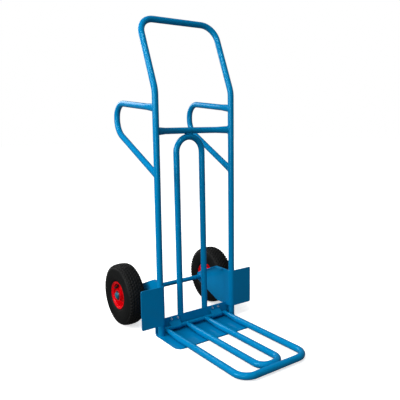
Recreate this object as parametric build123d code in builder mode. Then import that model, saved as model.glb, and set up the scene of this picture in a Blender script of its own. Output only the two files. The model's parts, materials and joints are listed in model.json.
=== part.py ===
from build123d import *
import math
import os

# Two-wheeled steel hand truck with a folding tube blade, in millimetres.
# +X is to the right seen from the load side, +Y points back to the wheels, +Z up.
# The origin is on the floor under the toe plate, midway between the rails and
# in the plane of their centre-lines.

# ---- Driving dimensions ----
# Round tube shared by the frame, the handles and the blade
TUBE_RADIUS = 12.5
TUBE_WALL = 1.5

# Main frame: one tube, two rails and the leaning top handle
RAIL_X = 179.3
RAIL_BEND_Z = 966
RAIL_BEND_RADIUS = 90
TOP_BAR_Y = 113
TOP_BAR_Z = 1241.5
TOP_CORNER_RADIUS = 65
RAIL_CUT_TOP_Z = 950

# Squashed tube ends where a tube is welded to the side of another
SQUASHED_HALF_THICKNESS = 8
SQUASHED_HALF_WIDTH = 16
SQUASHED_LENGTH = 62

# Toe plate: one bent sheet
PLATE_THICKNESS = 4
PLATE_HALF_WIDTH = 192
PLATE_FRONT_Y = -141.8
PLATE_REAR_Y = 26.2
PLATE_BEND_RADIUS = 10
PLATE_CORNER_RADIUS = 28
FLANGE_TOP_Z = 62.8
FLANGE_CORNER_RADIUS = 4

# Crossbar and centre loop
LOOP_X = 61.75
LOOP_BOTTOM_Z = 14
LOOP_TOP_Z = 788.3
LOOP_LEAN = 8

# Side handles, in the vertical plane of each rail
HANDLE_TOP_Z = 900
HANDLE_REAR_TOP = (310, 931)
HANDLE_REAR_BOTTOM = (315, 815)
HANDLE_SPLAY = 5.5
HANDLE_BOTTOM_Z = 645.5
HANDLE_TOP_RADIUS = 56
HANDLE_BOTTOM_RADIUS = 80

# Wheels and axle
WHEEL_X = 228.4
WHEEL_Y = 215.7
WHEEL_RADIUS = 130
TYRE_WALL_LOW = (37.2, 70)
TYRE_WALL_WIDEST = (40.2, 88)
TYRE_WALL_HIGH = (39.2, 106)
TYRE_SHOULDER = (35, 118)
TYRE_SHOULDER_EDGE = (31, 124)
TYRE_CROWN_EDGE = (24, 127.5)
TYRE_CROWN_MIDDLE = (12, 129.4)
RIM_RADIUS = 58
RIM_HALF_WIDTH = 30
RIM_SHEET = 2.5
RIM_LIP = 4.5
RIM_BEND_RADIUS = 3
RIM_VALVE_CLEARANCE = 0.2
WEB_STEP = 7
WEB_HUB_X = 13
WEB_HUB_RADIUS = 33
BEAD_RADIUS = 50.5
BEAD_FACE_X = 27.5
BEAD_INNER_X = 19
BEAD_CORNER_RADIUS = 3
BEAD_LIP_RISE = 0.8
CAVITY_CENTRE = 88
CAVITY_RADIUS = 35.5
INNER_TUBE_WALL = 2
INNER_TUBE_CLEARANCE = 0.3
VALVE_RADIUS = 3.5
VALVE_ANGLE = 42
VALVE_X = 15
VALVE_TURN_RADIUS = 37
VALVE_END_X = 30
VALVE_BEND_RADIUS = 7
VALVE_CAP_LENGTH = 10
VALVE_CAP_OVERHANG = 2
VALVE_CAP_WALL = 1.2
VALVE_CAP_EDGE_RADIUS = 0.6
VALVE_CAP_CLEARANCE = 0.05
AXLE_RADIUS = 10
AXLE_OVERHANG = 4
AXLE_CHAMFER = 1
BEARING_RADIUS = 20
BEARING_WIDTH = 12
BEARING_CLEARANCE = 0.05
HUB_RADIUS = 24
HUB_HALF_LENGTH = 33
HUB_END_GAP = 0.3
HUB_BORE_RADIUS = 18
CAP_RADIUS = 14.3
CAP_HEIGHT = 7
SPACER_RADIUS = 15
SLEEVE_RADIUS = 13
END_WASHER_RADIUS = 14.6
END_WASHER_THICKNESS = 2
RACE_WALL = 3.5
SHIELD_DEPTH = 0.8

# Axle brackets: one bent sheet each, wing, rail wrap and side plate
BRACKET_THICKNESS = 3
BRACKET_BOTTOM_Z = 53.2
BRACKET_TOP_Z = 211.6
WING_OUTER_X = 273
WING_CORNER_RADIUS = 6
BRACKET_SHOULDER_Y = 86
BRACKET_HEEL_Y = 80
BRACKET_END_RADIUS = 23
LIP_START_Y = 38
LIP_WIDTH = 12
LIP_SHARE = 0.8

# Folding blade
HINGE_Y = 13
HINGE_Z = 21.5
ROD_RADIUS = 8
BLADE_TIP_RADIUS = 7.2
ROD_CHAMFER = 1
BLADE_LIFT = 0.3
BLADE_OUTER_X = 149.3
BLADE_INNER_X = 48
BLADE_FRONT_Y = -471.4
BLADE_OUTER_CORNER = 50
BLADE_INNER_CORNER = 40
TAPER_START_Y = -78

# Hinge straps and their screws
STRAP_X = 103.5
STRAP_WIDTH = 50
STRAP_THICKNESS = 3
STRAP_CLEARANCE = 0.1
STRAP_TOP_Z = 61
STRAP_KNEE_Z = 43
STRAP_TAIL_Y = 20.4
SCREW_SPACING = 30
SCREW_Z = 54
SCREW_RADIUS = 2.5
SCREW_HOLE_RADIUS = 2.8
HEAD_HEIGHT = 3.5
NUT_HEIGHT = 4
HEX_RADIUS = 4.6
WASHER_RADIUS = 5
WASHER_THICKNESS = 1

# ---- Worked-out dimensions ----
LOOP_Y = PLATE_REAR_Y + TUBE_RADIUS
CROSSBAR_Z = LOOP_TOP_Z + 2 * TUBE_RADIUS
BLADE_Z = PLATE_THICKNESS + BLADE_LIFT + TUBE_RADIUS
SIDE_PLATE_OUTER_X = RAIL_X - TUBE_RADIUS
SIDE_PLATE_INNER_X = SIDE_PLATE_OUTER_X - BRACKET_THICKNESS
AXLE_END_X = WHEEL_X + HUB_HALF_LENGTH + HUB_END_GAP + AXLE_OVERHANG
FLANGE_FRONT_Y = PLATE_REAR_Y - PLATE_THICKNESS
SIDES = (("left", -1), ("right", 1))

os.makedirs("parts", exist_ok=True)


def save(part, name):
    """Label a finished piece and write it as its own STEP file."""
    part.label = name
    export_step(part, f"parts/{name}.step")


def point_along(start, end, distance):
    """Point at a distance from start on the straight line towards end."""
    start = Vector(*start)
    return start + (Vector(*end) - start).normalized() * distance


def pipe_section(plane, outer=TUBE_RADIUS, wall=TUBE_WALL):
    """Ring-shaped section of a round tube, square to the plane's normal."""
    with BuildSketch(plane) as section:
        Circle(outer)
        Circle(outer - wall, mode=Mode.SUBTRACT)
    return section.sketch


def bow_plane(bow, share):
    """Plane square to a level arc at a share of its length, y axis upright."""
    along = bow % share
    return Plane(bow @ share, x_dir=along.cross(Vector(0, 0, 1)), z_dir=along)


def squashed_section(plane):
    """Oval ring of a squashed tube end, thin along the plane's x axis."""
    with BuildSketch(plane) as section:
        Ellipse(SQUASHED_HALF_THICKNESS, SQUASHED_HALF_WIDTH)
        Ellipse(
            SQUASHED_HALF_THICKNESS - TUBE_WALL,
            SQUASHED_HALF_WIDTH - TUBE_WALL,
            mode=Mode.SUBTRACT,
        )
    return section.sketch


def disc_plane(x_position, side):
    """Plane across the axle at a distance from the middle, facing outwards."""
    return Plane(
        origin=(side * x_position, WHEEL_Y, WHEEL_RADIUS),
        x_dir=(0, 1, 0),
        z_dir=(side, 0, 0),
    )


def wheel_plane(side):
    """Radial plane of a wheel: x runs outwards along the axle, y up the radius."""
    return Plane(
        origin=(side * WHEEL_X, WHEEL_Y, WHEEL_RADIUS),
        x_dir=(side, 0, 0),
        z_dir=(0, -side, 0),
    )


def wheel_axis(side):
    """Axle line of a wheel."""
    return Axis((side * WHEEL_X, WHEEL_Y, WHEEL_RADIUS), (side, 0, 0))


# ---- Main frame tube ----
RAIL_FOOT = (-RAIL_X, 0, PLATE_THICKNESS)

with BuildPart() as main_frame_tube:
    with BuildLine() as frame_path:
        FilletPolyline(
            RAIL_FOOT,
            (-RAIL_X, 0, RAIL_BEND_Z),
            (-RAIL_X, TOP_BAR_Y, TOP_BAR_Z),
            (RAIL_X, TOP_BAR_Y, TOP_BAR_Z),
            (RAIL_X, 0, RAIL_BEND_Z),
            (RAIL_X, 0, PLATE_THICKNESS),
            radius=[RAIL_BEND_RADIUS, TOP_CORNER_RADIUS, TOP_CORNER_RADIUS, RAIL_BEND_RADIUS],
        )
    sweep(sections=pipe_section(Plane(RAIL_FOOT)), path=frame_path.line)
save(main_frame_tube.part, "main_frame_tube")


def rail_envelope(side):
    """Full cylinder of a rail's straight length, used to cope what meets it."""
    height = RAIL_CUT_TOP_Z - PLATE_THICKNESS
    rail_middle = Pos(side * RAIL_X, 0, PLATE_THICKNESS + height / 2)
    return rail_middle * Cylinder(TUBE_RADIUS, height, mode=Mode.PRIVATE)


# ---- Crossbar, bowed back to the centre loop, its ends squashed and coped ----
with BuildPart() as crossbar:
    bow = ThreePointArc(
        (-RAIL_X, 0, CROSSBAR_Z),
        (0, LOOP_Y + LOOP_LEAN, CROSSBAR_Z),
        (RAIL_X, 0, CROSSBAR_Z),
        mode=Mode.PRIVATE,
    )
    squashed_share = SQUASHED_LENGTH / bow.length
    with BuildLine() as crossbar_path:
        ThreePointArc(bow @ squashed_share, bow @ 0.5, bow @ (1 - squashed_share))
    sweep(sections=pipe_section(bow.location_at(squashed_share)), path=crossbar_path.line)
    for side, rail_share, round_share in ((-1, 0, squashed_share), (1, 1, 1 - squashed_share)):
        rail_section = squashed_section(bow_plane(bow, rail_share))
        round_section = pipe_section(bow_plane(bow, round_share))
        loft(sections=[rail_section, round_section])
        add(rail_envelope(side), mode=Mode.SUBTRACT)
save(crossbar.part, "crossbar")

# ---- Centre loop: an upturned U on the back of the toe plate's flange ----
loop_feet = [Vector(side * LOOP_X, LOOP_Y, LOOP_BOTTOM_Z) for _, side in SIDES]
loop_apex = Vector(0, LOOP_Y + LOOP_LEAN, LOOP_TOP_Z)
loop_upward = Vector(0, LOOP_LEAN, LOOP_TOP_Z - LOOP_BOTTOM_Z)
leg_rise = loop_upward.normalized() * (loop_upward.length - LOOP_X)

with BuildPart() as centre_loop:
    with BuildLine() as loop_path:
        left_leg = Line(loop_feet[0], loop_feet[0] + leg_rise)
        loop_arc = ThreePointArc(left_leg @ 1, loop_apex, loop_feet[1] + leg_rise)
        Line(loop_arc @ 1, loop_feet[1])
    foot_plane = Plane(loop_feet[0], x_dir=(1, 0, 0), z_dir=loop_upward)
    sweep(sections=pipe_section(foot_plane), path=loop_path.line)
save(centre_loop.part, "centre_loop")

# ---- Side handles ----
for side_name, side in SIDES:
    handle_corners = [
        (side * RAIL_X, 0, HANDLE_TOP_Z),
        (side * (RAIL_X + HANDLE_SPLAY), *HANDLE_REAR_TOP),
        (side * (RAIL_X + HANDLE_SPLAY), *HANDLE_REAR_BOTTOM),
        (side * RAIL_X, 0, HANDLE_BOTTOM_Z),
    ]
    top_round_end = point_along(handle_corners[0], handle_corners[1], SQUASHED_LENGTH)
    bottom_round_end = point_along(handle_corners[3], handle_corners[2], SQUASHED_LENGTH)
    with BuildPart() as side_handle:
        with BuildLine() as handle_path:
            FilletPolyline(
                top_round_end,
                handle_corners[1],
                handle_corners[2],
                bottom_round_end,
                radius=[HANDLE_TOP_RADIUS, HANDLE_BOTTOM_RADIUS],
            )
        for round_end, rail_end in (
            (top_round_end, handle_corners[0]),
            (bottom_round_end, handle_corners[3]),
        ):
            outward = round_end - Vector(*rail_end)
            loft(
                sections=[
                    squashed_section(Plane(rail_end, x_dir=(1, 0, 0), z_dir=outward)),
                    pipe_section(Plane(round_end, x_dir=(1, 0, 0), z_dir=outward)),
                ]
            )
        start_plane = Plane(top_round_end, x_dir=(1, 0, 0), z_dir=handle_path.line % 0)
        sweep(sections=pipe_section(start_plane), path=handle_path.line)
        add(rail_envelope(side), mode=Mode.SUBTRACT)
    save(side_handle.part, f"{side_name}_side_handle")

# ---- Toe plate: floor sheet bent up into a flange behind the rails ----
with BuildPart() as toe_plate:
    with BuildSketch(Plane.YZ) as toe_profile:
        with BuildLine():
            toe_line = FilletPolyline(
                (PLATE_FRONT_Y, PLATE_THICKNESS / 2),
                (PLATE_REAR_Y - PLATE_THICKNESS / 2, PLATE_THICKNESS / 2),
                (PLATE_REAR_Y - PLATE_THICKNESS / 2, FLANGE_TOP_Z),
                radius=PLATE_BEND_RADIUS,
            )
        trace(line_width=PLATE_THICKNESS)
    extrude(amount=PLATE_HALF_WIDTH, both=True)
    front_corners = toe_plate.edges().filter_by(Axis.Z).group_by(Axis.Y)[0]
    fillet(front_corners, radius=PLATE_CORNER_RADIUS)
    # Shoulders that carry the lower edges of the axle brackets' side plates
    notch_width = PLATE_HALF_WIDTH - SIDE_PLATE_INNER_X
    for _, side in SIDES:
        notch_middle_x = side * (SIDE_PLATE_INNER_X + notch_width / 2)
        with BuildSketch(Plane.XY.offset(BRACKET_BOTTOM_Z)):
            with Locations((notch_middle_x, PLATE_REAR_Y)):
                Rectangle(notch_width, 4 * PLATE_THICKNESS)
        extrude(amount=2 * (FLANGE_TOP_Z - BRACKET_BOTTOM_Z), mode=Mode.SUBTRACT)
    flange_tips = toe_plate.edges().filter_by(Axis.Y).filter_by(
        lambda edge: abs(edge.center().X) > PLATE_HALF_WIDTH - 1 and edge.center().Z > FLANGE_TOP_Z / 2
    )
    fillet(flange_tips, radius=FLANGE_CORNER_RADIUS)
    with BuildSketch(Plane.XZ.offset(-PLATE_REAR_Y - 1)):
        for _, side in SIDES:
            with Locations((side * STRAP_X, SCREW_Z)):
                with GridLocations(SCREW_SPACING, 0, 2, 1):
                    Circle(SCREW_HOLE_RADIUS)
    extrude(amount=PLATE_THICKNESS + 2, mode=Mode.SUBTRACT)
save(toe_plate.part, "toe_plate")

# ---- Axle brackets ----
shoulder = Vector(BRACKET_SHOULDER_Y, BRACKET_TOP_Z)
to_axle = Vector(WHEEL_Y, WHEEL_RADIUS) - shoulder
# The sloping top edge is tangent to the rounded end about the axle
slope_angle = math.atan2(to_axle.Y, to_axle.X) + math.asin(BRACKET_END_RADIUS / to_axle.length)
slope_direction = Vector(math.cos(slope_angle), math.sin(slope_angle))
lip_inset = BRACKET_THICKNESS / 2
lip_corner = shoulder + Vector(lip_inset * math.tan(slope_angle / 2), -lip_inset)

for side_name, side in SIDES:
    wing_y = -TUBE_RADIUS - BRACKET_THICKNESS / 2
    plate_x = side * (SIDE_PLATE_INNER_X + BRACKET_THICKNESS / 2)
    wing_front_y = wing_y - BRACKET_THICKNESS
    with BuildPart() as axle_bracket:
        # Plan of the bent sheet, wrapped round the rail's inner front quarter
        with BuildSketch(Plane.XY.offset(BRACKET_BOTTOM_Z)):
            with BuildLine():
                FilletPolyline(
                    (side * WING_OUTER_X, wing_y),
                    (plate_x, wing_y),
                    (plate_x, WHEEL_Y + BRACKET_END_RADIUS),
                    radius=TUBE_RADIUS + BRACKET_THICKNESS / 2,
                )
            trace(line_width=BRACKET_THICKNESS)
        extrude(amount=BRACKET_TOP_Z - BRACKET_BOTTOM_Z)
        # Side outline that trims the sheet to its sloping edges and rounded end
        with BuildSketch(Plane.YZ):
            with Locations((WHEEL_Y, WHEEL_RADIUS)):
                Circle(BRACKET_END_RADIUS)
            with BuildLine():
                Polyline(
                    (BRACKET_HEEL_Y, BRACKET_BOTTOM_Z),
                    (wing_front_y, BRACKET_BOTTOM_Z),
                    (wing_front_y, BRACKET_TOP_Z),
                    (BRACKET_SHOULDER_Y, BRACKET_TOP_Z),
                )
            make_hull()
        extrude(amount=WING_OUTER_X + 1, both=True, mode=Mode.INTERSECT)
        wing_corners = axle_bracket.edges().filter_by(Axis.Y).filter_by(
            lambda edge: abs(edge.center().X) > WING_OUTER_X - 1
        )
        fillet(wing_corners, radius=WING_CORNER_RADIUS)
        # Stiffening lip folded inwards behind the folded blade's path
        with BuildSketch(Plane.YZ.offset(side * SIDE_PLATE_INNER_X)):
            with BuildLine():
                Polyline(
                    (LIP_START_Y, BRACKET_TOP_Z - lip_inset),
                    lip_corner,
                    lip_corner + slope_direction * to_axle.length * LIP_SHARE,
                )
            trace(line_width=BRACKET_THICKNESS)
        extrude(amount=-side * LIP_WIDTH)
        with BuildSketch(disc_plane(SIDE_PLATE_INNER_X - 1, side)):
            Circle(AXLE_RADIUS)
        extrude(amount=BRACKET_THICKNESS + 2, mode=Mode.SUBTRACT)
    save(axle_bracket.part, f"{side_name}_axle_bracket")

# ---- Axle ----
with BuildPart() as axle:
    with BuildSketch(Plane.YZ):
        with Locations((WHEEL_Y, WHEEL_RADIUS)):
            Circle(AXLE_RADIUS)
    extrude(amount=AXLE_END_X, both=True)
    chamfer(axle.edges().filter_by(GeomType.CIRCLE), length=AXLE_CHAMFER)
save(axle.part, "axle")


def ring(side, start, length, outer, bore):
    """Ring about the axle, from a distance outside the wheel's middle plane."""
    with BuildPart() as ring_part:
        with BuildSketch(disc_plane(WHEEL_X + start, side)):
            Circle(outer)
            Circle(bore, mode=Mode.SUBTRACT)
        extrude(amount=length)
    return ring_part.part


# ---- What sits on the axle at each wheel ----
for side_name, side in SIDES:
    bracket_gap = WHEEL_X - HUB_HALF_LENGTH - HUB_END_GAP - SIDE_PLATE_OUTER_X
    inboard_start = SIDE_PLATE_OUTER_X - WHEEL_X
    sleeve_half = HUB_HALF_LENGTH - BEARING_WIDTH - HUB_END_GAP
    washer_start = HUB_HALF_LENGTH + HUB_END_GAP
    cap_start = washer_start + END_WASHER_THICKNESS
    spacer = ring(side, inboard_start, bracket_gap, SPACER_RADIUS, AXLE_RADIUS)
    save(spacer, f"{side_name}_axle_spacer")
    sleeve = ring(side, -sleeve_half, 2 * sleeve_half, SLEEVE_RADIUS, AXLE_RADIUS)
    save(sleeve, f"{side_name}_hub_sleeve")
    end_washer = ring(side, washer_start, END_WASHER_THICKNESS, END_WASHER_RADIUS, AXLE_RADIUS)
    save(end_washer, f"{side_name}_end_washer")
    # Domed push-on cap over the axle's end
    cap_rim_x = cap_start + CAP_HEIGHT / 2
    cap_top_x = cap_start + CAP_HEIGHT
    axle_end_x = AXLE_END_X - WHEEL_X
    dome_height = cap_top_x - cap_rim_x
    dome_radius = (CAP_RADIUS**2 + dome_height**2) / (2 * dome_height)
    half_angle = math.asin(CAP_RADIUS / dome_radius) / 2
    dome_middle = Vector(cap_top_x - dome_radius, 0) + dome_radius * Vector(
        math.cos(half_angle), math.sin(half_angle)
    )
    with BuildPart() as axle_cap:
        with BuildSketch(wheel_plane(side)):
            with BuildLine():
                Polyline((cap_top_x, 0), (axle_end_x, 0), (axle_end_x, AXLE_RADIUS))
                Polyline(
                    (axle_end_x, AXLE_RADIUS),
                    (cap_start, AXLE_RADIUS),
                    (cap_start, CAP_RADIUS),
                    (cap_rim_x, CAP_RADIUS),
                )
                ThreePointArc((cap_rim_x, CAP_RADIUS), dome_middle, (cap_top_x, 0))
            make_face()
        revolve(axis=wheel_axis(side))
    save(axle_cap.part, f"{side_name}_axle_cap")


# ---- Wheels ----
def rim_half(side, facing):
    """Pressed-steel rim half; facing is 1 for the outboard half, -1 inboard."""
    flange_x = RIM_HALF_WIDTH - RIM_SHEET / 2
    lip_r = RIM_RADIUS - RIM_SHEET / 2
    seat_r = BEAD_RADIUS - RIM_SHEET / 2
    with BuildPart() as half:
        with BuildSketch(wheel_plane(side)):
            with BuildLine():
                FilletPolyline(
                    (facing * (flange_x + RIM_LIP), lip_r),
                    (facing * flange_x, lip_r),
                    (facing * flange_x, seat_r),
                    (facing * RIM_SHEET / 2, seat_r),
                    (facing * RIM_SHEET / 2, seat_r - WEB_STEP),
                    (facing * WEB_HUB_X, WEB_HUB_RADIUS),
                    (facing * WEB_HUB_X, HUB_RADIUS),
                    radius=RIM_BEND_RADIUS,
                )
            trace(line_width=RIM_SHEET)
        revolve(axis=wheel_axis(side))
        if facing == 1:
            with BuildSketch(valve_plane(side, BEAD_RADIUS + 1)):
                Circle(VALVE_RADIUS + RIM_VALVE_CLEARANCE)
            extrude(amount=-2 * RIM_SHEET, mode=Mode.SUBTRACT)
    return half.part


def valve_frame(side):
    """Radial plane of a wheel that holds the valve: x outboard, y up the radius."""
    angle = math.radians(VALVE_ANGLE)
    return Plane(
        origin=(side * WHEEL_X, WHEEL_Y, WHEEL_RADIUS),
        x_dir=(side, 0, 0),
        z_dir=(0, -side * math.sin(angle), side * math.cos(angle)),
    )


def valve_plane(side, radius):
    """Plane square to the valve's radial run, at a radius, facing the tread."""
    frame = valve_frame(side)
    return Plane(
        origin=frame.from_local_coords(Vector(VALVE_X, radius, 0)),
        x_dir=frame.x_dir,
        z_dir=frame.y_dir,
    )


for side_name, side in SIDES:
    # Tyre: carcass and crown in one revolved section, open between its beads
    with BuildPart() as tyre:
        with BuildSketch(wheel_plane(side)):
            with BuildLine() as tyre_outline:
                bead = Line((0, BEAD_RADIUS), (BEAD_FACE_X, BEAD_RADIUS))
                toe = Line(bead @ 1, (BEAD_FACE_X, RIM_RADIUS + BEAD_LIP_RISE))
                wall = ThreePointArc(toe @ 1, TYRE_WALL_LOW, TYRE_WALL_WIDEST)
                upper = ThreePointArc(wall @ 1, TYRE_WALL_HIGH, TYRE_SHOULDER)
                edge = ThreePointArc(upper @ 1, TYRE_SHOULDER_EDGE, TYRE_CROWN_EDGE)
                crown = ThreePointArc(edge @ 1, TYRE_CROWN_MIDDLE, (0, WHEEL_RADIUS))
                Line(crown @ 1, bead @ 0)
            make_face()
            bead_corner = tyre_outline.line.vertices().sort_by_distance((BEAD_FACE_X, BEAD_RADIUS))
            fillet(bead_corner[0], BEAD_CORNER_RADIUS)
            mirror(about=Plane.YZ)
            with Locations((0, CAVITY_CENTRE)):
                Circle(CAVITY_RADIUS, mode=Mode.SUBTRACT)
            with Locations((0, BEAD_RADIUS)):
                Rectangle(2 * BEAD_INNER_X, CAVITY_CENTRE - BEAD_RADIUS, mode=Mode.SUBTRACT)
        revolve(axis=wheel_axis(side))
    save(tyre.part, f"{side_name}_tyre")

    # Inner tube, pierced where the valve is bonded in
    with BuildPart() as inner_tube:
        with BuildSketch(wheel_plane(side)):
            with Locations((0, CAVITY_CENTRE)):
                Circle(CAVITY_RADIUS - INNER_TUBE_CLEARANCE)
                Circle(
                    CAVITY_RADIUS - INNER_TUBE_CLEARANCE - INNER_TUBE_WALL,
                    mode=Mode.SUBTRACT,
                )
        revolve(axis=wheel_axis(side))
        with BuildSketch(valve_plane(side, BEAD_RADIUS)):
            Circle(VALVE_RADIUS)
        extrude(amount=CAVITY_CENTRE - BEAD_RADIUS, mode=Mode.SUBTRACT)
    save(inner_tube.part, f"{side_name}_inner_tube")

    save(rim_half(side, 1), f"{side_name}_rim_outboard_half")
    save(rim_half(side, -1), f"{side_name}_rim_inboard_half")

    # Hub tube with a shouldered seat for a bearing at each end
    with BuildPart() as hub:
        add(ring(side, -HUB_HALF_LENGTH, 2 * HUB_HALF_LENGTH, HUB_RADIUS, HUB_BORE_RADIUS))
        for seat_start in (-HUB_HALF_LENGTH, HUB_HALF_LENGTH - BEARING_WIDTH):
            bearing_seat = ring(side, seat_start, BEARING_WIDTH, BEARING_RADIUS, AXLE_RADIUS)
            add(bearing_seat, mode=Mode.SUBTRACT)
    save(hub.part, f"{side_name}_hub_tube")

    # Ball bearings, their shields set back between the two races
    for place, facing in (("outboard", 1), ("inboard", -1)):
        start = facing * (HUB_HALF_LENGTH - BEARING_WIDTH / 2) - BEARING_WIDTH / 2
        race_bore = AXLE_RADIUS + BEARING_CLEARANCE
        with BuildPart() as bearing:
            add(ring(side, start, BEARING_WIDTH, BEARING_RADIUS, race_bore))
            for groove_start in (start, start + BEARING_WIDTH - SHIELD_DEPTH):
                shield_groove = ring(
                    side, groove_start, SHIELD_DEPTH, BEARING_RADIUS - RACE_WALL, race_bore + RACE_WALL
                )
                add(shield_groove, mode=Mode.SUBTRACT)
        save(bearing.part, f"{side_name}_{place}_bearing")

    # Valve: a bent stem through the rim's bead seat and its screw cap
    with BuildPart() as valve_stem:
        with BuildLine(valve_frame(side)) as stem_path:
            FilletPolyline(
                (VALVE_X, CAVITY_CENTRE - CAVITY_RADIUS + 2),
                (VALVE_X, VALVE_TURN_RADIUS),
                (VALVE_END_X, VALVE_TURN_RADIUS),
                radius=VALVE_BEND_RADIUS,
            )
        with BuildSketch(Plane(stem_path.line @ 0, z_dir=stem_path.line % 0)):
            Circle(VALVE_RADIUS)
        sweep(path=stem_path.line)
    save(valve_stem.part, f"{side_name}_valve_stem")
    stem_end = Plane(stem_path.line @ 1, z_dir=stem_path.line % 1)
    with BuildPart() as valve_cap:
        with BuildSketch(stem_end.offset(VALVE_CAP_OVERHANG - VALVE_CAP_LENGTH)):
            Circle(VALVE_RADIUS + VALVE_CAP_WALL)
        extrude(amount=VALVE_CAP_LENGTH)
        fillet(valve_cap.edges().filter_by(GeomType.CIRCLE), radius=VALVE_CAP_EDGE_RADIUS)
        with BuildSketch(stem_end):
            Circle(VALVE_RADIUS + VALVE_CAP_CLEARANCE)
        extrude(amount=-VALVE_CAP_LENGTH, mode=Mode.SUBTRACT)
    save(valve_cap.part, f"{side_name}_valve_cap")

# ---- Folding blade ----
with BuildPart() as blade_rod:
    with BuildSketch(Plane.YZ):
        with Locations((HINGE_Y, HINGE_Z)):
            Circle(ROD_RADIUS)
    extrude(amount=BLADE_OUTER_X + ROD_RADIUS, both=True)
    chamfer(blade_rod.edges().filter_by(GeomType.CIRCLE), length=ROD_CHAMFER)
save(blade_rod.part, "blade_rod")


def blade_loop(half_width, front_y, corner_radius):
    """U-shaped blade tube, its ends drawn down and coped to the hinge rod."""
    with BuildPart() as loop:
        with BuildLine() as loop_line:
            FilletPolyline(
                (-half_width, TAPER_START_Y, BLADE_Z),
                (-half_width, front_y, BLADE_Z),
                (half_width, front_y, BLADE_Z),
                (half_width, TAPER_START_Y, BLADE_Z),
                radius=corner_radius,
            )
        start = (-half_width, TAPER_START_Y, BLADE_Z)
        sweep(sections=pipe_section(Plane(start, z_dir=(0, -1, 0))), path=loop_line.line)
        for _, side in SIDES:
            round_end = (side * half_width, TAPER_START_Y, BLADE_Z)
            rod_end = (side * half_width, HINGE_Y, HINGE_Z)
            loft(
                sections=[
                    pipe_section(Plane(round_end, z_dir=(0, 1, 0))),
                    pipe_section(Plane(rod_end, z_dir=(0, 1, 0)), outer=BLADE_TIP_RADIUS),
                ]
            )
        rod_length = 2 * (BLADE_OUTER_X + TUBE_RADIUS)
        rod_envelope = Cylinder(ROD_RADIUS, rod_length, rotation=(0, 90, 0), mode=Mode.PRIVATE)
        add(Pos(0, HINGE_Y, HINGE_Z) * rod_envelope, mode=Mode.SUBTRACT)
    return loop.part


save(blade_loop(BLADE_OUTER_X, BLADE_FRONT_Y, BLADE_OUTER_CORNER), "blade_outer_loop")
inner_front_y = BLADE_FRONT_Y + 2 * TUBE_RADIUS
save(blade_loop(BLADE_INNER_X, inner_front_y, BLADE_INNER_CORNER), "blade_inner_loop")

# ---- Hinge straps: screwed to the flange, hooked over and under the rod ----
strap_mid_radius = ROD_RADIUS + STRAP_CLEARANCE + STRAP_THICKNESS / 2
knee = Vector(FLANGE_FRONT_Y - STRAP_THICKNESS / 2, STRAP_KNEE_Z)
rod_centre = Vector(HINGE_Y, HINGE_Z)
rod_to_knee = knee - rod_centre
knee_angle = math.atan2(rod_to_knee.Y, rod_to_knee.X)
tangent_angle = knee_angle + math.acos(strap_mid_radius / rod_to_knee.length)
tangent_offset = Vector(math.cos(tangent_angle), math.sin(tangent_angle)) * strap_mid_radius
hook_sweep = 270 - math.degrees(tangent_angle)

for side_name, side in SIDES:
    with BuildPart() as hinge_strap:
        with BuildSketch(Plane.YZ.offset(side * STRAP_X)):
            with BuildLine():
                FilletPolyline(
                    (knee.X, STRAP_TOP_Z), knee, rod_centre + tangent_offset, radius=2 * STRAP_THICKNESS
                )
                hook = CenterArc(
                    rod_centre, strap_mid_radius, math.degrees(tangent_angle), hook_sweep
                )
                Line(hook @ 1, (STRAP_TAIL_Y, HINGE_Z - strap_mid_radius))
            trace(line_width=STRAP_THICKNESS)
        extrude(amount=STRAP_WIDTH / 2, both=True)
        with BuildSketch(Plane.XZ.offset(-FLANGE_FRONT_Y - 1)):
            with Locations((side * STRAP_X, SCREW_Z)):
                with GridLocations(SCREW_SPACING, 0, 2, 1):
                    Circle(SCREW_HOLE_RADIUS)
        extrude(amount=STRAP_THICKNESS + 2, mode=Mode.SUBTRACT)
    save(hinge_strap.part, f"{side_name}_hinge_strap")


def at_each_screw(y_position):
    """Planes facing the load side at the four strap screws, at a depth."""
    return [
        Plane(origin=(side * STRAP_X + offset, y_position, SCREW_Z), x_dir=(1, 0, 0), z_dir=(0, -1, 0))
        for _, side in SIDES
        for offset in (-SCREW_SPACING / 2, SCREW_SPACING / 2)
    ]


strap_face_y = FLANGE_FRONT_Y - STRAP_THICKNESS
head_seat_y = strap_face_y - WASHER_THICKNESS
nut_seat_y = PLATE_REAR_Y + WASHER_THICKNESS
shank_length = nut_seat_y + NUT_HEIGHT + 2 - head_seat_y

with BuildPart() as strap_screws:
    for screw_plane in at_each_screw(head_seat_y):
        with BuildSketch(screw_plane):
            RegularPolygon(HEX_RADIUS, 6)
        extrude(amount=HEAD_HEIGHT)
        with BuildSketch(screw_plane):
            Circle(SCREW_RADIUS)
        extrude(amount=-shank_length)
save(strap_screws.part, "strap_screws")

with BuildPart() as strap_washers:
    for washer_y in (strap_face_y, nut_seat_y):
        for washer_plane in at_each_screw(washer_y):
            with BuildSketch(washer_plane):
                Circle(WASHER_RADIUS)
                Circle(SCREW_HOLE_RADIUS, mode=Mode.SUBTRACT)
            extrude(amount=WASHER_THICKNESS)
save(strap_washers.part, "strap_washers")

with BuildPart() as strap_nuts:
    for nut_plane in at_each_screw(nut_seat_y + NUT_HEIGHT):
        with BuildSketch(nut_plane):
            RegularPolygon(HEX_RADIUS, 6)
            Circle(SCREW_RADIUS, mode=Mode.SUBTRACT)
        extrude(amount=NUT_HEIGHT)
save(strap_nuts.part, "strap_nuts")
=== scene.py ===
"""Blue steel hand truck: finishes, tyres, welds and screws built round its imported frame.

Every length is in metres and every piece stands in the frame's own axes: +X to the right seen
from the load side, +Y back to the wheels, +Z up.
"""

import json
import logging
import math
from dataclasses import dataclass
from enum import Enum

import bmesh
import bpy
import numpy as np
from mathutils import Matrix, Vector

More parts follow.
